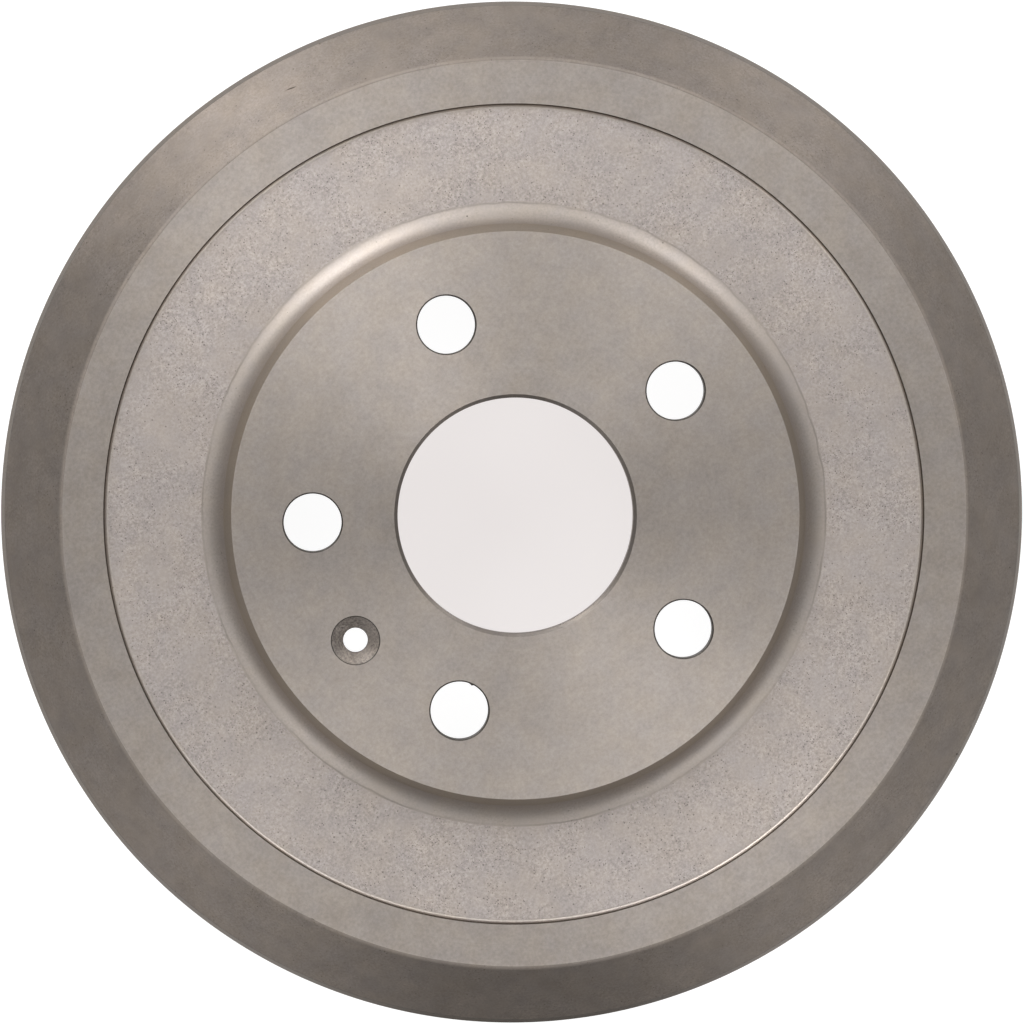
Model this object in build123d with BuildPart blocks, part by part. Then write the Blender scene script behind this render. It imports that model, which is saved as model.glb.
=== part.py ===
from build123d import *
import os
from math import hypot, radians, tan

# All sizes are in millimetres. The drum lies on its open rim at z = 0 with the wheel side up.

# Overall height and the friction surface
height = 74.0
friction_diameter = 250.0
drum_wall = 9.0
friction_relief = 1.0
relief_height = 3.0
lead_in_width = 1.5
lead_in_height = 2.5

# Wheel side of the web, from the middle outwards
face_diameter = 147.0
hat_height = 11.0
hat_draft = 15.0
root_radius = 6.0
root_width = 7.85
root_slope = 8.0
step_height = 1.5
step_run = 0.5
step_fillet = 0.9
ring_width = 11.35
cone_width = 15.85
cone_depth = 16.5
shoulder_break = 1.65

# Thicknesses
hub_web = 6.5
hat_wall = 8.0
web = 8.0
corner_wall = 8.5
pocket_mouth_chamfer = 4.0

# Open rim
rebate_width = 4.2
rebate_height = 6.0
rim_edge_chamfer = 0.8

# Holes in the hub web
bore_diameter = 61.0
bore_chamfer = 0.9
bore_back_chamfer = 0.4
stud_circle_diameter = 105.0
stud_count = 5
stud_hole_diameter = 15.0
stud_edge_break = 0.35
screw_hole_diameter = 6.4
screw_sink_diameter = 12.8
screw_sink_angle = 90.0
screw_angle = 180.0

# Levels that follow from the sizes above
face_z = height
seat_z = face_z - hub_web
ring_z = face_z - hat_height
cast_z = ring_z - step_height
web_z = cast_z - web
shoulder_z = ring_z - cone_depth

# Radii that follow from the sizes above
bore_r = bore_diameter / 2
face_r = face_diameter / 2
friction_r = friction_diameter / 2
outer_r = friction_r + drum_wall
relief_r = friction_r + friction_relief
cone_r = outer_r - cone_width
ring_r = cone_r - ring_width
step_r = ring_r - step_run
root_r = face_r + root_width
lip_r = outer_r - rebate_width

# The steep side of the raised hub face meets the shallow run-out cone at the root point
draft_run = tan(radians(hat_draft))
runout_rise = tan(radians(root_slope))
root_drop = (face_z - cast_z - runout_rise * root_width) / (1 - runout_rise * draft_run)
root_point = (face_r + root_drop * draft_run, face_z - root_drop)

# The hat's inside is parallel to its outside
pocket_seat_r = face_r + hub_web * draft_run - hat_wall
pocket_mouth_r = pocket_seat_r + (seat_z - web_z) * draft_run

# The corner's inside cone is parallel to its outside cone, whose outer edge is broken
cone_length = hypot(cone_width, cone_depth)
break_width = shoulder_break * cone_width / cone_length
break_drop = shoulder_break * cone_depth / cone_length
inside_shift = corner_wall * cone_length / cone_depth
corner_start_r = cone_r - inside_shift + (ring_z - web_z) * cone_width / cone_depth
corner_end_z = web_z - (relief_r - corner_start_r) * cone_depth / cone_width
friction_top_z = corner_end_z - relief_height

# Corners of half the section, each with its rounding, once around from the bore's wheel side
section_corners = [
    (bore_r + bore_chamfer, face_z, 0),
    (face_r, face_z, 0),
    (*root_point, root_radius),
    (root_r, cast_z, 0),
    (step_r, cast_z, step_fillet),
    (ring_r, ring_z, 0),
    (cone_r, ring_z, 0),
    (outer_r - break_width, shoulder_z + break_drop, 0),
    (outer_r, shoulder_z - shoulder_break, 0),
    (outer_r, rebate_height + rim_edge_chamfer, 0),
    (outer_r - rim_edge_chamfer, rebate_height, 0),
    (lip_r, rebate_height, 0),
    (lip_r, rim_edge_chamfer, 0),
    (lip_r - rim_edge_chamfer, 0, 0),
    (friction_r + lead_in_width, 0, 0),
    (friction_r, lead_in_height, 0),
    (friction_r, friction_top_z - friction_relief, 0),
    (relief_r, friction_top_z, 0),
    (relief_r, corner_end_z, 0),
    (corner_start_r, web_z, 0),
    (pocket_mouth_r + pocket_mouth_chamfer, web_z, 0),
    (pocket_mouth_r - pocket_mouth_chamfer * draft_run, web_z + pocket_mouth_chamfer, 0),
    (pocket_seat_r, seat_z, 0),
    (bore_r + bore_back_chamfer, seat_z, 0),
    (bore_r, seat_z + bore_back_chamfer, 0),
    (bore_r, face_z - bore_chamfer, 0),
]
section_points = [(radius, level) for radius, level, rounding in section_corners]
section_rounding = [rounding for radius, level, rounding in section_corners]

with BuildPart() as brake_drum:
    with BuildSketch(Plane.XZ) as section:
        with BuildLine():
            FilletPolyline(*section_points, radius=section_rounding, close=True)
        make_face()
    revolve(axis=Axis.Z)

    # Five stud holes, the first on +X
    with Locations((0, 0, face_z)):
        with PolarLocations(stud_circle_diameter / 2, stud_count):
            Hole(stud_hole_diameter / 2, depth=2 * hub_web)
    face_edges = brake_drum.faces().sort_by(Axis.Z)[-1].edges().filter_by(GeomType.CIRCLE)
    stud_edges = face_edges.filter_by(lambda edge: abs(edge.radius - stud_hole_diameter / 2) < 0.01)
    chamfer(stud_edges, length=stud_edge_break)

    # The locating screw's hole, on the same circle and midway between two stud holes
    with Locations((0, 0, face_z)):
        with PolarLocations(stud_circle_diameter / 2, 1, start_angle=screw_angle):
            CounterSinkHole(
                radius=screw_hole_diameter / 2,
                counter_sink_radius=screw_sink_diameter / 2,
                depth=2 * hub_web,
                counter_sink_angle=screw_sink_angle,
            )

brake_drum.part.label = "brake_drum"

os.makedirs("parts", exist_ok=True)
export_step(brake_drum.part, "parts/brake_drum.step")
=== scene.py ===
from math import ceil, cos, hypot, pi, radians, sin, tan

import bmesh
import bpy
from mathutils import Matrix, Vector, noise


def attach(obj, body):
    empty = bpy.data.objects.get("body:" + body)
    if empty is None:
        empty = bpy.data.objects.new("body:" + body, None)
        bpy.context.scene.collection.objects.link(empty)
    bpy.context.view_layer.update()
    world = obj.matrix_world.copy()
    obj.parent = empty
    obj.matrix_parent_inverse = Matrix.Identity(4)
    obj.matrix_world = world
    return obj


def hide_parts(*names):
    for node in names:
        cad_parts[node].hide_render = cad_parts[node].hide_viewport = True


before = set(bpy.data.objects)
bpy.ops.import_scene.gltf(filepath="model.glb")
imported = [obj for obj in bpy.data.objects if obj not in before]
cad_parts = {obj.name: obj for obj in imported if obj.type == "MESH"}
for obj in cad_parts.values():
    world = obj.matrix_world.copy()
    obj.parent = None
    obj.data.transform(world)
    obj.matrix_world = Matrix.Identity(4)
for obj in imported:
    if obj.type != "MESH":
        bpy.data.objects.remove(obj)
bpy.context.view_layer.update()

MM = 0.001

# Sizes of the casting in millimetres, under the names they have in the part's source
height = 74.0
friction_diameter = 250.0
drum_wall = 9.0
friction_relief = 1.0
relief_height = 3.0
lead_in_width = 1.5
lead_in_height = 2.5
face_diameter = 147.0
hat_height = 11.0
hat_draft = 15.0
root_radius = 6.0
root_width = 7.85
root_slope = 8.0
step_height = 1.5
step_run = 0.5
step_fillet = 0.9
ring_width = 11.35
cone_width = 15.85
cone_depth = 16.5
shoulder_break = 1.65
hub_web = 6.5
hat_wall = 8.0
web = 8.0
corner_wall = 8.5
pocket_mouth_chamfer = 4.0
rebate_width = 4.2
rebate_height = 6.0
rim_edge_chamfer = 0.8
bore_diameter = 61.0
bore_chamfer = 0.9
bore_back_chamfer = 0.4
stud_circle_diameter = 105.0
stud_count = 5
stud_hole_diameter = 15.0
stud_edge_break = 0.35
screw_hole_diameter = 6.4
screw_sink_diameter = 12.8

# Levels and radii that follow from them
face_z = height
seat_z = face_z - hub_web
ring_z = face_z - hat_height
cast_z = ring_z - step_height
web_z = cast_z - web
shoulder_z = ring_z - cone_depth
bore_r = bore_diameter / 2
face_r = face_diameter / 2
friction_r = friction_diameter / 2
outer_r = friction_r + drum_wall
relief_r = friction_r + friction_relief
cone_r = outer_r - cone_width
ring_r = cone_r - ring_width
step_r = ring_r - step_run
root_r = face_r + root_width
lip_r = outer_r - rebate_width
stud_circle_r = stud_circle_diameter / 2
stud_r = stud_hole_diameter / 2
screw_r = screw_hole_diameter / 2
sink_r = screw_sink_diameter / 2
draft_run = tan(radians(hat_draft))
runout_rise = tan(radians(root_slope))
root_drop = (face_z - cast_z - runout_rise * root_width) / (1 - runout_rise * draft_run)
pocket_seat_r = face_r + hub_web * draft_run - hat_wall
pocket_mouth_r = pocket_seat_r + (seat_z - web_z) * draft_run
cone_length = hypot(cone_width, cone_depth)
break_width = shoulder_break * cone_width / cone_length
break_drop = shoulder_break * cone_depth / cone_length
corner_start_r = cone_r - corner_wall * cone_length / cone_depth + (ring_z - web_z) * cone_width / cone_depth
corner_end_z = web_z - (relief_r - corner_start_r) * cone_depth / cone_width
friction_top_z = corner_end_z - relief_height

# Small roundings in millimetres, which the solid leaves out
root_end_rounding = 0.8
border_rounding = 1.4
shoulder_rounding = 0.6
rim_rounding = 0.4
rebate_rounding = 0.6
lip_rounding = 0.3
friction_rounding = 0.3
corner_end_rounding = 2.0
corner_start_rounding = 5.0
pocket_rounding = 3.0
seat_rounding = 1.5
bore_rounding = 0.3
sink_rounding = 0.2

# Reach of the zones that begin or end within a stretch of the profile, in millimetres
root_zone_height = 3.9
foot_width = 0.75
border_reach = 0.63
crease_width = 0.1
crease_drop = 0.24
sink_line = 0.25

# Strips of mesh in millimetres that lie along the edges of the flat faces
face_strip = 0.6
seat_strip = 2.5
bore_strip = 0.4
hole_strip = 0.6
stud_strip = 0.3
sink_strip = 0.4

# The photograph is turned by this angle against the part, about the drum's axis
photo_turn = radians(37.95)

# Mesh density: points around the drum, the bore and a small hole, and the spacing along a profile
AROUND = 400
BORE_AROUND = 240
HOLE_AROUND = 96
SUPPORT = 0.12
LONGEST = 4.0
ARC_STEP = radians(12.0)

# Zones of the surface, in the order of the material slots
ZONES = [
    "face", "side", "root", "cast", "foot", "step", "ring", "border", "cone", "crease", "edge",
    "outside", "rim", "friction", "inside", "seat", "bore", "hole", "sink",
]


def arc(before, corner, after, radius):
    """Points of a corner's rounding, from the side on which the profile reaches it."""
    into = (before - corner).normalized()
    out = (after - corner).normalized()
    half = into.angle(out) / 2
    middle = corner + (into + out).normalized() * (radius / sin(half))
    first = corner + into * (radius / tan(half))
    turn = pi - 2 * half
    side = 1 if (first - middle).cross(corner - middle) > 0 else -1
    count = max(2, ceil(turn / ARC_STEP))
    points = []
    for k in range(count + 1):
        spoke = first - middle
        spoke.rotate(Matrix.Rotation(side * turn * k / count, 2))
        points.append(middle + spoke)
    return points


def along(start, end):
    """Inner points of a straight stretch: one close to each end, and the rest evenly spaced."""
    length = (end - start).length
    if length < 3 * SUPPORT:
        return []
    cuts = int(length / LONGEST)
    shares = [SUPPORT / length, 1 - SUPPORT / length]
    shares += [k / (cuts + 1) for k in range(1, cuts + 1)]
    return [start.lerp(end, share) for share in sorted(shares)]


def profile(corners):
    """Points of an open profile, each with its zone and whether it is a sharp edge.

    A corner is (radius, level, rounding, zone of the stretch that leads to it)."""
    points = [(Vector(corners[0][:2]), corners[0][3], False)]
    last = len(corners) - 1
    for index in range(1, last + 1):
        radius, level, rounding, zone = corners[index]
        corner = Vector((radius, level))
        bend = [corner]
        if rounding and index < last:
            bend = arc(points[-1][0], corner, Vector(corners[index + 1][:2]), rounding)
        points += [(spot, zone, False) for spot in along(points[-1][0], bend[0])]
        points += [(spot, zone, index < last and not rounding) for spot in bend]
    return points


def ring_edges(bm, ring):
    """The edges of a closed ring of vertices."""
    return [bm.edges.get((ring[k - 1], ring[k])) for k in range(len(ring))]


def lathe(bm, points, around, centre=(0.0, 0.0), shift=None):
    """Turns a profile about an upright axis and returns its first and its last ring of vertices."""
    rings = []
    for spot, zone, sharp in points:
        ring = []
        for k in range(around):
            angle = 2 * pi * k / around
            radius, level = shift(spot.x, spot.y, angle) if shift else spot
            place = (centre[0] + radius * cos(angle), centre[1] + radius * sin(angle), level)
            ring.append(bm.verts.new(Vector(place) * MM))
        rings.append(ring)
    for index in range(1, len(rings)):
        inner = rings[index - 1]
        outer = rings[index]
        for k in range(around):
            face = bm.faces.new((inner[k - 1], outer[k - 1], outer[k], inner[k]))
            face.material_index = ZONES.index(points[index][1])
            face.smooth = True
    for ring, (spot, zone, sharp) in zip(rings, points):
        if sharp:
            for edge in ring_edges(bm, ring):
                edge.smooth = False
    return rings[0], rings[-1]


def fill(bm, rings, zone, up):
    """Closes the flat face between an outer ring and the rings of its holes."""
    edges = [edge for ring in rings for edge in ring_edges(bm, ring)]
    made = bmesh.ops.triangle_fill(bm, use_beauty=True, use_dissolve=False, edges=edges, normal=(0, 0, up))
    for element in made["geom"]:
        if isinstance(element, bmesh.types.BMFace):
            element.material_index = ZONES.index(zone)
            element.smooth = True
    for edge in edges:
        edge.smooth = False


# The cast cone isn't quite round, so the rounded border between it and the turned ring wanders in waves.
# Each wave has its height in millimetres and its phase in the photograph in degrees: first the one that goes
# once around the drum, then the one that goes around twice, and so on
cone_growth = 0.32
cone_waves = (
    (0.31, -16.0),
    (0.25, -107.0),
    (0.21, 102.0),
    (0.11, -165.0),
    (0.06, 142.0),
    (0.09, 177.0),
    (0.09, -128.0),
)
cone_unrest = 0.08
unrest_pace = 8.0
unrest_start = 1.2
ring_give = 4.0


def cone_wander(radius, level, angle):
    """Shifts the border between the turned ring and the cast cone, and the cone down to the shoulder."""
    ring_end_r = cone_r - border_reach
    if radius < ring_end_r - ring_give or level < shoulder_z:
        return radius, level
    unrest = noise.noise((cos(angle) * unrest_pace, sin(angle) * unrest_pace, unrest_start))
    shift = cone_growth + cone_unrest * unrest
    for order, (wave, phase) in enumerate(cone_waves, 1):
        shift += wave * cos(order * (angle + photo_turn) + radians(phase))
    inwards = max(0.0, ring_end_r - radius) / ring_give
    outwards = max(0.0, radius - cone_r) / (cone_width - break_width)
    return radius + shift * max(0.0, 1 - inwards - outwards), level


def burr(radius, level, angle):
    """One stud hole has a small burr at its edge."""
    burr_angle = radians(65.2) - photo_turn
    burr_height = 0.45
    burr_half_width = 0.5
    burr_depth = 1.0
    if level > face_z - burr_depth and radius < stud_r + stud_edge_break / 2:
        away = abs(angle - burr_angle) * stud_r
        radius -= burr_height * max(0.0, 1 - away / burr_half_width)
    return radius, level


def drum_mesh():
    """The casting's skin, in the solid's form, with the small roundings that the solid leaves out."""
    bm = bmesh.new()
    side_drop = root_drop - root_zone_height
    crease_r = outer_r - break_width
    crease_z = shoulder_z + break_drop
    pocket_throat_r = pocket_mouth_r - pocket_mouth_chamfer * draft_run
    bore_back_r = bore_r + bore_back_chamfer
    bore_face_r = bore_r + bore_chamfer
    stud_face_r = stud_r + stud_edge_break
    body = profile([
        (face_r - face_strip, face_z, 0, "face"),
        (face_r, face_z, 0, "face"),
        (face_r + side_drop * draft_run, face_z - side_drop, 0, "side"),
        (face_r + root_drop * draft_run, face_z - root_drop, root_radius, "root"),
        (root_r, cast_z, root_end_rounding, "root"),
        (step_r - foot_width, cast_z, 0, "cast"),
        (step_r, cast_z, step_fillet, "foot"),
        (ring_r, ring_z, 0, "step"),
        (cone_r - border_reach, ring_z, 0, "ring"),
        (cone_r, ring_z, border_rounding, "border"),
        (crease_r, crease_z, 0, "cone"),
        (crease_r + crease_width, crease_z - crease_drop, 0, "crease"),
        (outer_r, shoulder_z - shoulder_break, shoulder_rounding, "edge"),
        (outer_r, rebate_height + rim_edge_chamfer, rim_rounding, "outside"),
        (outer_r - rim_edge_chamfer, rebate_height, rim_rounding, "rim"),
        (lip_r, rebate_height, rebate_rounding, "rim"),
        (lip_r, rim_edge_chamfer, lip_rounding, "rim"),
        (lip_r - rim_edge_chamfer, 0.0, lip_rounding, "rim"),
        (friction_r + lead_in_width, 0.0, lip_rounding, "rim"),
        (friction_r, lead_in_height, friction_rounding, "rim"),
        (friction_r, friction_top_z - friction_relief, friction_rounding, "friction"),
        (relief_r, friction_top_z, friction_rounding, "inside"),
        (relief_r, corner_end_z, corner_end_rounding, "inside"),
        (corner_start_r, web_z, corner_start_rounding, "inside"),
        (pocket_mouth_r + pocket_mouth_chamfer, web_z, pocket_rounding, "inside"),
        (pocket_throat_r, web_z + pocket_mouth_chamfer, pocket_rounding, "inside"),
        (pocket_seat_r, seat_z, seat_rounding, "inside"),
        (pocket_seat_r - seat_strip, seat_z, 0, "seat"),
    ])
    bore = profile([
        (bore_back_r + bore_strip, seat_z, 0, "seat"),
        (bore_back_r, seat_z, 0, "seat"),
        (bore_r, seat_z + bore_back_chamfer, 0, "bore"),
        (bore_r, face_z - bore_chamfer, bore_rounding, "bore"),
        (bore_face_r, face_z, 0, "bore"),
        (bore_face_r + bore_strip, face_z, 0, "face"),
    ])
    stud = profile([
        (stud_r + hole_strip, seat_z, 0, "seat"),
        (stud_r, seat_z, 0, "seat"),
        (stud_r, face_z - stud_edge_break, 0, "hole"),
        (stud_face_r, face_z, 0, "hole"),
        (stud_face_r + stud_strip, face_z, 0, "face"),
    ])
    screw = profile([
        (screw_r + hole_strip, seat_z, 0, "seat"),
        (screw_r, seat_z, 0, "seat"),
        (screw_r, face_z - sink_r + screw_r, sink_rounding, "hole"),
        (sink_r - sink_line, face_z - sink_line, 0, "sink"),
        (sink_r, face_z, 0, "hole"),
        (sink_r + sink_strip, face_z, 0, "face"),
    ])
    top, bottom = lathe(bm, body, AROUND, shift=cone_wander)
    bore_bottom, bore_top = lathe(bm, bore, BORE_AROUND)
    tops = [top, bore_top]
    bottoms = [bottom, bore_bottom]
    burr_hole = 3
    for index in range(stud_count):
        angle = 2 * pi * index / stud_count
        centre = (stud_circle_r * cos(angle), stud_circle_r * sin(angle))
        low, high = lathe(bm, stud, HOLE_AROUND, centre, burr if index == burr_hole else None)
        tops.append(high)
        bottoms.append(low)
    low, high = lathe(bm, screw, HOLE_AROUND, (-stud_circle_r, 0.0))
    tops.append(high)
    bottoms.append(low)
    fill(bm, tops, "face", 1)
    fill(bm, bottoms, "seat", -1)
    bmesh.ops.recalc_face_normals(bm, faces=bm.faces)
    mesh = bpy.data.meshes.new("brake_drum_skin")
    bm.to_mesh(mesh)
    bm.free()
    return mesh


# Values that the finishes share: the ends of a noise pattern's useful stretch, the size and the strength of
# the smallest specks against the largest, how hard a speck's edge is, where a mark's edge begins and ends,
# the gloss of what isn't metal, and the turn of the gloss against the tool marks
NOISE_LOW = 0.3
NOISE_HIGH = 0.7
SPECK_SMALLEST = 0.45
SPECK_FAINTEST = 0.35
SPECK_EDGE = 6.0
MARK_CORE = 0.5
MARK_END = 1.1
MATT_GLOSS = 0.1
QUARTER_TURN = 0.25


class Nodes:
    """A material's node tree, with short calls for the nodes that the finishes share."""

    def __init__(self, name):
        self.material = bpy.data.materials.new(name)
        self.material.use_nodes = True
        self.tree = self.material.node_tree
        self.tree.nodes.clear()
        self.output = self.tree.nodes.new("ShaderNodeOutputMaterial")

    def new(self, kind, **settings):
        """A new node with its settings."""
        node = self.tree.nodes.new(kind)
        for key, value in settings.items():
            setattr(node, key, value)
        return node

    def feed(self, socket, value):
        """Sets a socket to a number or a colour, or links it to another node's output."""
        if isinstance(value, (int, float)):
            socket.default_value = value
        elif isinstance(value, tuple):
            socket.default_value = (*value, 1.0)
        else:
            self.tree.links.new(value, socket)

    def math(self, operation, first, second, clamp=False):
        """The result of a sum on two values."""
        node = self.new("ShaderNodeMath", operation=operation, use_clamp=clamp)
        self.feed(node.inputs[0], first)
        self.feed(node.inputs[1], second)
        return node.outputs[0]

    def place(self):
        """The point in the part's own frame, in metres."""
        return self.new("ShaderNodeTexCoord").outputs["Object"]

    def flat_length(self, place, scale):
        """A point's distance from the upright axis, times a scale."""
        flat = self.new("ShaderNodeVectorMath", operation="MULTIPLY")
        flat.inputs[1].default_value = (scale, scale, 0.0)
        self.feed(flat.inputs[0], place)
        length = self.new("ShaderNodeVectorMath", operation="LENGTH")
        self.feed(length.inputs[0], flat.outputs[0])
        return length.outputs["Value"]

    def radius(self, place):
        """Distance from the drum's axis, in millimetres."""
        return self.flat_length(place, 1 / MM)

    def noise(self, place, per_metre, detail=2.0, roughness=0.5):
        """A cloudy pattern."""
        node = self.new("ShaderNodeTexNoise")
        node.inputs["Scale"].default_value = per_metre
        node.inputs["Detail"].default_value = detail
        node.inputs["Roughness"].default_value = roughness
        self.feed(node.inputs["Vector"], place)
        return node.outputs["Fac"]

    def rings(self, radius, per_mm, detail=2.0):
        """Tool marks: noise that depends on the distance from the axis alone."""
        node = self.new("ShaderNodeTexNoise", noise_dimensions="1D")
        node.inputs["Scale"].default_value = per_mm
        node.inputs["Detail"].default_value = detail
        self.feed(node.inputs["W"], radius)
        return node.outputs["Fac"]

    def span(self, value, low, high, to_low, to_high):
        """Carries the stretch from low to high over to another stretch, and holds the ends."""
        node = self.new("ShaderNodeMapRange", clamp=True)
        for socket, number in zip(node.inputs[1:5], (low, high, to_low, to_high)):
            socket.default_value = number
        self.feed(node.inputs[0], value)
        return node.outputs[0]

    def specks(self, place, per_metre, share, size):
        """Small round spots, 1 inside a spot: share says how many cells of the pattern hold one."""
        cells = self.new("ShaderNodeTexVoronoi", feature="F1")
        cells.inputs["Scale"].default_value = per_metre
        self.feed(cells.inputs["Vector"], place)
        chance = self.new("ShaderNodeSeparateColor")
        self.feed(chance.inputs[0], cells.outputs["Color"])
        picked = self.math("LESS_THAN", chance.outputs[0], share)
        reach = self.span(chance.outputs[1], 0.0, 1.0, SPECK_SMALLEST * size, size)
        depth = self.span(chance.outputs[2], 0.0, 1.0, SPECK_FAINTEST, 1.0)
        inside = self.math("SUBTRACT", reach, cells.outputs["Distance"])
        spot = self.math("MULTIPLY", inside, SPECK_EDGE, clamp=True)
        return self.math("MULTIPLY", spot, self.math("MULTIPLY", picked, depth))

    def mark(self, place, azimuth, radius, length, width, heading):
        """One dent or scratch, 1 inside it.

        The angles are counted in the photograph, and the sizes are in millimetres."""
        angle = radians(azimuth) - photo_turn
        node = self.new("ShaderNodeMapping", vector_type="TEXTURE")
        node.inputs["Location"].default_value = (radius * MM * cos(angle), radius * MM * sin(angle), 0.0)
        node.inputs["Rotation"].default_value = (0.0, 0.0, radians(heading) - photo_turn)
        node.inputs["Scale"].default_value = (length * MM / 2, width * MM / 2, 1.0)
        self.feed(node.inputs["Vector"], place)
        away = self.flat_length(node.outputs[0], 1.0)
        return self.span(away, MARK_CORE, MARK_END, 1.0, 0.0)

    def ramp(self, value, low, high, dark, light):
        """A colour between two others, as a value goes from low to high."""
        node = self.new("ShaderNodeValToRGB")
        for element, position, colour in zip(node.color_ramp.elements, (low, high), (dark, light)):
            element.position = position
            element.color = (*colour, 1.0)
        self.feed(node.inputs["Fac"], value)
        return node.outputs["Color"]

    def mix(self, share, first, second, blend="MIX"):
        """Two colours, blended by a share."""
        node = self.new("ShaderNodeMix", data_type="RGBA", blend_type=blend)
        colours = [socket for socket in node.inputs if socket.type == "RGBA"]
        self.feed(node.inputs[0], share)
        self.feed(colours[0], first)
        self.feed(colours[1], second)
        return [socket for socket in node.outputs if socket.type == "RGBA"][0]

    def shade(self, colour, pattern, strength):
        """Darkens and lightens a colour by a share, as a noise pattern goes."""
        light = self.ramp(pattern, NOISE_LOW, NOISE_HIGH, (1 - strength,) * 3, (1 + strength,) * 3)
        return self.mix(1.0, colour, light, "MULTIPLY")

    def bump(self, value, depth):
        """A fine relief, in metres."""
        node = self.new("ShaderNodeBump")
        node.inputs["Strength"].default_value = 1.0
        node.inputs["Distance"].default_value = depth
        self.feed(node.inputs["Height"], value)
        return node.outputs["Normal"]

    def metal(self, colour, roughness, normal, metallic=1.0, anisotropy=0.0):
        """Finishes the material. Anisotropy stretches the gloss across the tool marks around the axis."""
        shader = self.new("ShaderNodeBsdfPrincipled")
        shader.inputs["Metallic"].default_value = metallic
        shader.inputs["Specular IOR Level"].default_value = MATT_GLOSS
        shader.inputs["Roughness"].default_value = roughness
        self.feed(shader.inputs["Base Color"], colour)
        self.feed(shader.inputs["Normal"], normal)
        if anisotropy:
            shader.inputs["Anisotropic"].default_value = anisotropy
            shader.inputs["Anisotropic Rotation"].default_value = QUARTER_TURN
            tangent = self.new("ShaderNodeTangent", direction_type="RADIAL", axis="Z")
            self.feed(shader.inputs["Tangent"], tangent.outputs["Tangent"])
        self.feed(self.output.inputs["Surface"], shader.outputs[0])
        return self.material


# Colours of bare iron and of what lies in its pits, and the two tints between which it drifts. The step
# wall's colour is darkened as painted shade
IRON = (0.395, 0.351, 0.318)
SIDE_IRON = (0.3, 0.258, 0.215)
WEB_IRON = (0.392, 0.35, 0.326)
STEP_WALL_SHADE = (0.1, 0.083, 0.068)
BORDER_IRON = (0.225, 0.195, 0.172)
CONE_IRON = (0.204, 0.176, 0.155)
EDGE_IRON = (0.158, 0.134, 0.114)
OUTSIDE_IRON = (0.195, 0.17, 0.15)
DIRT = (0.055, 0.042, 0.034)
COOL = (0.988, 0.998, 1.016)
WARM = (1.012, 1.002, 0.977)


def tone(share):
    """The iron's colour, lighter or darker."""
    return tuple(value * share for value in IRON)


def clouded(nodes, place, colour, drift, mottle):
    """Slow drifts of the tone and of the tint, as oil and handling leave them on bare iron."""
    colour = nodes.shade(colour, nodes.noise(place, per_metre=30.0, detail=4.0, roughness=0.6), drift)
    colour = nodes.shade(colour, nodes.noise(place, per_metre=140.0, detail=4.0, roughness=0.68), mottle)
    tint = nodes.noise(place, per_metre=120.0, detail=4.0, roughness=0.62)
    tints = nodes.ramp(tint, low=0.35, high=0.65, dark=COOL, light=WARM)
    return nodes.mix(1.0, colour, tints, "MULTIPLY")


def marked(nodes, place, colour, marks):
    """Dents and scratches with dirt in them."""
    for mark in marks:
        colour = nodes.mix(nodes.mark(place, *mark), colour, DIRT)
    return colour


def seamed(nodes, place, colour, seam):
    """A thin dark line at one radius, broken here and there."""
    pattern = nodes.noise(place, per_metre=160.0)
    wander = nodes.span(pattern, NOISE_LOW, NOISE_HIGH, to_low=-0.25, to_high=0.25)
    wandering = nodes.math("ADD", nodes.radius(place), wander)
    away = nodes.math("ABSOLUTE", nodes.math("SUBTRACT", wandering, seam), 0.0)
    line = nodes.span(away, low=0.1, high=0.32, to_low=0.28, to_high=0.0)
    breaks = nodes.span(nodes.noise(place, per_metre=70.0), low=0.4, high=0.6, to_low=0.3, to_high=1.0)
    return nodes.mix(nodes.math("MULTIPLY", line, breaks), colour, DIRT)


def turned_finish(name, colour, roughness, anisotropy, grain=0.1, mottle=0.025, lines=0.02, marks=(),
                  rise=0.0):
    """Iron from the lathe: close rings of tool marks and a fine grain.

    The tone may rise from the bore outwards."""
    fine_share = 0.6
    broad_share = 0.4
    slow_drift = 0.03
    tool_depth = 0.000002
    nodes = Nodes(name)
    place = nodes.place()
    radius = nodes.radius(place)
    fine = nodes.rings(radius, per_mm=3.2)
    broad = nodes.rings(radius, per_mm=0.35)
    fine_part = nodes.math("MULTIPLY", fine, fine_share)
    cut = nodes.math("ADD", fine_part, nodes.math("MULTIPLY", broad, broad_share))
    toned = nodes.shade(colour, nodes.noise(place, per_metre=1100.0, detail=3.0, roughness=0.7), grain)
    toned = nodes.shade(toned, cut, lines)
    toned = clouded(nodes, place, toned, slow_drift, mottle)
    if rise:
        outwards = nodes.span(radius, bore_r, face_r, NOISE_LOW, NOISE_HIGH)
        toned = nodes.shade(toned, outwards, rise)
    toned = marked(nodes, place, toned, marks)
    return nodes.metal(toned, roughness, nodes.bump(fine, tool_depth), anisotropy=anisotropy)


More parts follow.
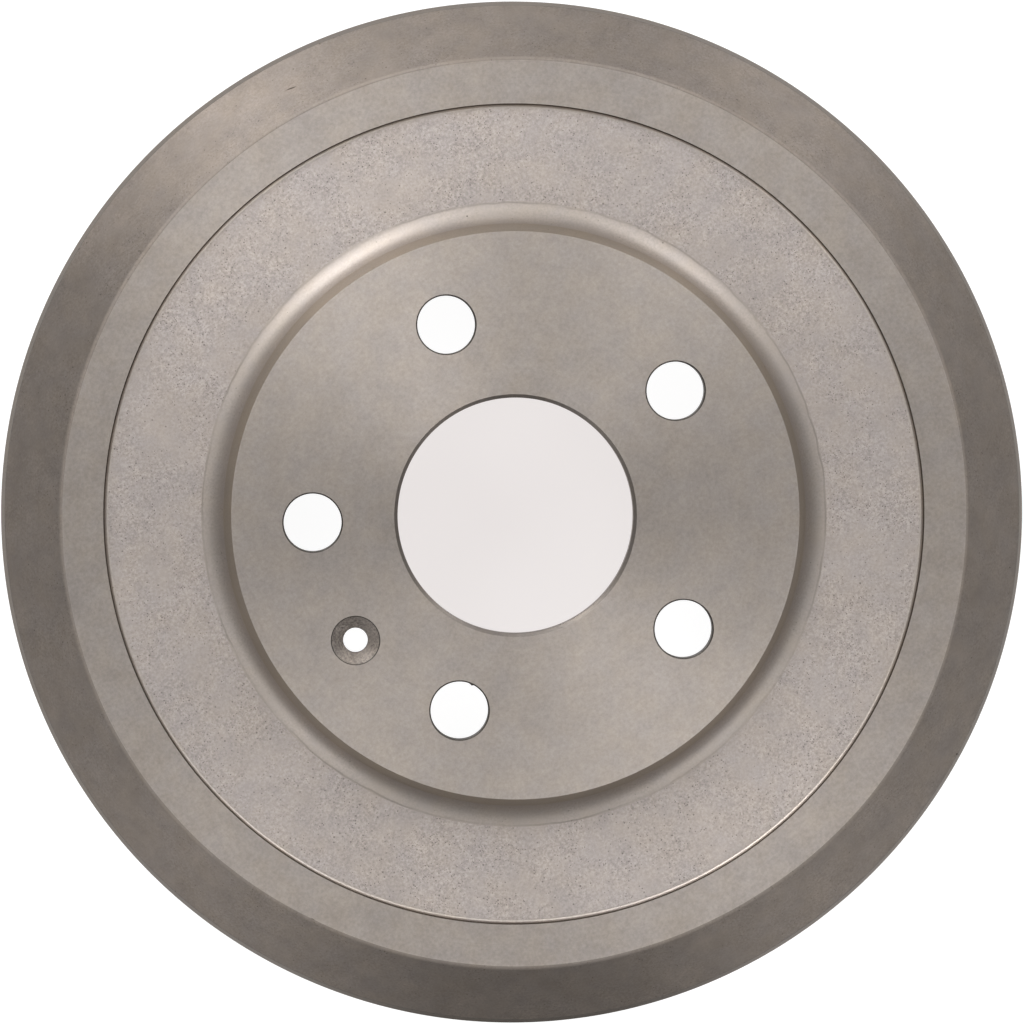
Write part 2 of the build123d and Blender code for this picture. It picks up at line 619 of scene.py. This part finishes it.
def cast_finish(name, colour, roughness, speck_share, metallic=1.0, depth=0.00002, grain=0.13, mottle=0.02,
                marks=(), anisotropy=0.0, seam=None, gather=None):
    """Shot-blasted casting skin: grain and small dark specks, both of which gather in patches.

    The specks may also gather from one radius towards another."""
    slow_drift = 0.045
    few = 0.2 * speck_share
    many = 2.0 * speck_share
    large_share = 0.35
    speck_strength = 0.68
    grain_relief = 0.6
    grain_middle = 0.5
    nodes = Nodes(name)
    place = nodes.place()
    patches = nodes.noise(place, per_metre=90.0, detail=3.0, roughness=0.6)
    share = nodes.span(patches, low=0.38, high=0.66, to_low=few, to_high=many)
    if gather:
        gathered = nodes.span(nodes.radius(place), *gather, to_low=2.5, to_high=0.5)
        share = nodes.math("MULTIPLY", share, gathered)
    small = nodes.specks(place, per_metre=1900.0, share=share, size=0.42)
    fewer = nodes.math("MULTIPLY", share, large_share)
    large = nodes.specks(place, per_metre=1150.0, share=fewer, size=0.36)
    specks = nodes.math("MAXIMUM", small, large)
    grains = nodes.noise(place, per_metre=1600.0, detail=3.0, roughness=0.65)
    grains = nodes.math("SUBTRACT", grains, grain_middle)
    grains = nodes.math("MULTIPLY", grains, nodes.span(patches, low=0.35, high=0.65, to_low=0.5, to_high=1.5))
    grains = nodes.math("ADD", grains, grain_middle)
    toned = nodes.shade(colour, grains, grain)
    toned = clouded(nodes, place, toned, slow_drift, mottle)
    toned = nodes.mix(nodes.math("MULTIPLY", specks, speck_strength), toned, DIRT)
    if seam:
        toned = seamed(nodes, place, toned, seam)
    toned = marked(nodes, place, toned, marks)
    relief = nodes.math("SUBTRACT", nodes.math("MULTIPLY", grains, grain_relief), specks)
    return nodes.metal(toned, roughness, nodes.bump(relief, depth), metallic, anisotropy)


# Marks that the photograph shows: azimuth, radius, length, width and heading
root_pit = (99.0, 78.5, 0.5, 0.4, 10.0)
ring_pit = (243.5, 117.7, 1.3, 0.5, 333.0)
cone_scratch = (117.6, 125.1, 3.2, 0.4, 20.0)
edge_nick = (-28.5, 132.9, 0.6, 1.1, 75.0)

# The root ends in a thin seam, and the cone's specks gather towards the ring
root_seam_inset = 0.3
root_seam_r = root_r - root_seam_inset
gather_width = 7.0
speck_gather = (cone_r, cone_r + gather_width)

# The side of the hub and its root have the same smooth skin
smooth_skin = {
    "roughness": 0.48, "speck_share": 0.02, "metallic": 0.85, "depth": 0.000006,
    "grain": 0.08, "mottle": 0.03, "anisotropy": 0.3,
}

finishes = {
    "face": turned_finish("turned hub face", tone(0.92), roughness=0.43, anisotropy=0.5, mottle=0.055,
                          rise=0.045),
    "side": cast_finish("hub side", SIDE_IRON, **smooth_skin),
    "root": cast_finish("hub root", tone(0.87), marks=[root_pit], seam=root_seam_r, **smooth_skin),
    "cast": cast_finish("blasted web", WEB_IRON, roughness=0.53, speck_share=0.3, depth=0.00003, grain=0.2,
                        mottle=0.055, anisotropy=0.36),
    "foot": cast_finish("step foot", tone(1.0), roughness=0.43, speck_share=0.05, grain=0.1),
    # Painted shade: the step wall gets a very dark tone that stands in for the shade on its steep wall
    "step": cast_finish("step wall painted shade", STEP_WALL_SHADE, roughness=0.6, speck_share=0.1),
    "ring": turned_finish("turned ring", tone(0.845), roughness=0.45, anisotropy=0.45, grain=0.11,
                          mottle=0.08, marks=[ring_pit]),
    "border": cast_finish("ring border", BORDER_IRON, roughness=0.6, speck_share=0.05, depth=0.000006,
                          grain=0.1, mottle=0.05, anisotropy=0.2),
    "cone": cast_finish("dull cone", CONE_IRON, roughness=0.48, speck_share=0.13, depth=0.00001, grain=0.13,
                        mottle=0.1, marks=[cone_scratch, edge_nick], anisotropy=0.47, gather=speck_gather),
    # Painted shade: the shoulder crease gets a very dark, matt tone that stands in for the shade in the
    # crease
    "crease": cast_finish("shoulder crease painted shade", tone(0.25), roughness=0.6, speck_share=0.1, metallic=0.0),
    "edge": cast_finish("shoulder edge", EDGE_IRON, roughness=0.5, speck_share=0.06, metallic=0.8,
                        depth=0.000006, grain=0.1, mottle=0.03, marks=[edge_nick]),
    "outside": cast_finish("blasted outside", OUTSIDE_IRON, roughness=0.62, speck_share=0.12, metallic=0.0),
    "rim": turned_finish("turned rim", tone(0.85), roughness=0.4, anisotropy=0.4),
    "friction": turned_finish("turned friction face", tone(1.0), roughness=0.33, anisotropy=0.5),
    "inside": cast_finish("blasted inside", tone(0.75), roughness=0.65, speck_share=0.14),
    "seat": turned_finish("turned seat", tone(0.9), roughness=0.4, anisotropy=0.5),
    "bore": turned_finish("turned bore", tone(0.62), roughness=0.45, anisotropy=0.3),
    # Painted shade: the hole walls and their edge breaks get a very dark tone that stands in for the shade in
    # the holes
    "hole": turned_finish("drilled holes painted shade", tone(0.25), roughness=0.55, anisotropy=0.0),
    "sink": cast_finish("countersink", tone(0.72), roughness=0.58, speck_share=0.7, metallic=0.8,
                        depth=0.00005, grain=0.45, mottle=0.1),
}

drum = bpy.data.objects.new("brake_drum_skin", drum_mesh())
bpy.context.scene.collection.objects.link(drum)
for zone in ZONES:
    drum.data.materials.append(finishes[zone])
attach(drum, "root")
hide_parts("brake_drum")


def photo_point(x, y, z):
    """A point in the part's metres, from the photograph's right, its up and the height in millimetres."""
    return Matrix.Rotation(-photo_turn, 3, "Z") @ Vector((x, y, z)) * MM


# The camera stands 2 m above the hub face, a little to the photograph's upper left, and looks at the middle
camera_height = 2000.0
camera_offset = 75.0
camera_side = (-0.7495, 0.662)
aim = (-0.31, 0.26)
focal_pixels = 7740.0
image_height = 1024
sensor_width = 36.0
nearest_seen = 0.05
eye = photo_point(camera_side[0] * camera_offset, camera_side[1] * camera_offset, face_z + camera_height)
target = photo_point(*aim, shoulder_z)
back = (eye - target).normalized()
right = photo_point(0.0, 1.0, 0.0).cross(back).normalized()
turn = Matrix((right, back.cross(right), back)).transposed()
camera = bpy.data.objects.new("camera", bpy.data.cameras.new("camera"))
camera.matrix_world = Matrix.Translation(eye) @ turn.to_4x4()
camera.data.sensor_width = sensor_width
camera.data.lens = focal_pixels * sensor_width / image_height
camera.data.clip_start = nearest_seen
bpy.context.scene.collection.objects.link(camera)
bpy.context.scene.camera = camera


def floor_material():
    """White paper that lights up for the eye and for reflections, and still takes the drum's shadow.

    Under the middle of the drum its glow is a little greyer: painted shade. The iron shows it with a painted
    shadow on the side away from the lamps, in reflections only."""
    paper_colour = (0.25, 0.25, 0.25)
    # Painted shade: the floor's glow is greyer under the middle of the drum, where the drum's shade falls
    painted_shade_colour = (0.755, 0.717, 0.709)
    open_colour = (0.93, 0.93, 0.93)
    painted_shade_until = 34.0
    painted_shade_gone_at = 42.0
    # Painted shadow: in reflections only, the floor's glow is cut away in a wedge on the side away from the
    # lamps
    shade_azimuth = radians(272.0) - photo_turn
    shade_full = cos(radians(8.0))
    shade_none = cos(radians(28.0))
    shade_near = 450.0
    shade_far = 800.0
    shade_depth = 0.97
    nodes = Nodes("floor")
    paper = nodes.new("ShaderNodeBsdfDiffuse")
    nodes.feed(paper.inputs["Color"], paper_colour)
    glow = nodes.new("ShaderNodeEmission")
    radius = nodes.radius(nodes.place())
    clear_of_painted_shade = nodes.span(radius, painted_shade_until, painted_shade_gone_at, 0.0, 1.0)
    nodes.feed(glow.inputs["Color"], nodes.mix(clear_of_painted_shade, painted_shade_colour, open_colour))
    path = nodes.new("ShaderNodeLightPath")
    outward = nodes.new("ShaderNodeVectorMath", operation="NORMALIZE")
    nodes.feed(outward.inputs[0], nodes.place())
    facing = nodes.new("ShaderNodeVectorMath", operation="DOT_PRODUCT")
    nodes.feed(facing.inputs[0], outward.outputs[0])
    facing.inputs[1].default_value = (cos(shade_azimuth), sin(shade_azimuth), 0.0)
    painted_shadow_wedge = nodes.span(facing.outputs["Value"], shade_none, shade_full, 0.0, shade_depth)
    shade = nodes.math("MULTIPLY", painted_shadow_wedge, nodes.span(radius, shade_near, shade_far, 1.0, 0.0))
    shown = nodes.math("MULTIPLY", path.outputs["Is Glossy Ray"], nodes.math("SUBTRACT", 1.0, shade))
    seen = nodes.math("MAXIMUM", path.outputs["Is Camera Ray"], shown)
    nodes.feed(glow.inputs["Strength"], nodes.math("MAXIMUM", seen, path.outputs["Is Transmission Ray"]))
    both = nodes.new("ShaderNodeAddShader")
    nodes.feed(both.inputs[0], paper.outputs[0])
    nodes.feed(both.inputs[1], glow.outputs[0])
    nodes.feed(nodes.output.inputs["Surface"], both.outputs[0])
    return nodes.material


# The floor is a square, in metres, a hair below the rim, in millimetres
floor_half = 3.0
floor_gap = 0.05
floor_corners = [(x * floor_half, y * floor_half, 0) for x, y in ((-1, -1), (1, -1), (1, 1), (-1, 1))]
floor_mesh = bpy.data.meshes.new("floor")
floor_mesh.from_pydata(floor_corners, [], [(0, 1, 2, 3)])
floor = bpy.data.objects.new("floor", floor_mesh)
floor.location.z = -floor_gap * MM
floor.data.materials.append(floor_material())
bpy.context.scene.collection.objects.link(floor)


def softbox(name, azimuth, elevation, width, tall, power):
    """A lamp that looks at the drum.

    The azimuth is counted in the photograph, from its right towards its top."""
    distance = 3.0
    lamp = bpy.data.lights.new(name, "AREA")
    lamp.shape = "RECTANGLE"
    lamp.size = width
    lamp.size_y = tall
    lamp.energy = power
    lit = bpy.data.objects.new(name, lamp)
    angle = radians(azimuth) - photo_turn
    flat = cos(radians(elevation))
    lit.location = Vector((flat * cos(angle), flat * sin(angle), sin(radians(elevation)))) * distance
    lit.rotation_euler = (Vector((0, 0, height * MM)) - lit.location).to_track_quat("-Z", "Y").to_euler()
    bpy.context.scene.collection.objects.link(lit)


softbox("key", azimuth=123.0, elevation=38.0, width=1.0, tall=3.4, power=82.0)
softbox("second", azimuth=54.0, elevation=38.0, width=1.0, tall=3.4, power=46.0)
softbox("right fill", azimuth=311.0, elevation=48.0, width=1.0, tall=2.8, power=23.0)
softbox("left fill", azimuth=229.0, elevation=46.0, width=1.0, tall=2.8, power=22.0)
softbox("low fill", azimuth=92.0, elevation=10.0, width=1.0, tall=0.8, power=7.0)


def light_tent(horizon, zenith):
    """Grey surroundings that are lighter overhead."""
    world = bpy.data.worlds.new("world")
    world.use_nodes = True
    nodes = world.node_tree.nodes
    links = world.node_tree.links
    axes = nodes.new("ShaderNodeSeparateXYZ")
    links.new(nodes.new("ShaderNodeTexCoord").outputs["Generated"], axes.inputs[0])
    level = nodes.new("ShaderNodeMapRange")
    level.inputs["To Min"].default_value = horizon
    level.inputs["To Max"].default_value = zenith
    links.new(axes.outputs["Z"], level.inputs["Value"])
    links.new(level.outputs["Result"], nodes["Background"].inputs["Strength"])
    nodes["Background"].inputs["Color"].default_value = (1.0, 1.0, 1.0, 1.0)
    return world


bpy.context.scene.world = light_tent(horizon=0.26, zenith=0.36)
bpy.context.scene.view_settings.view_transform = "Standard"
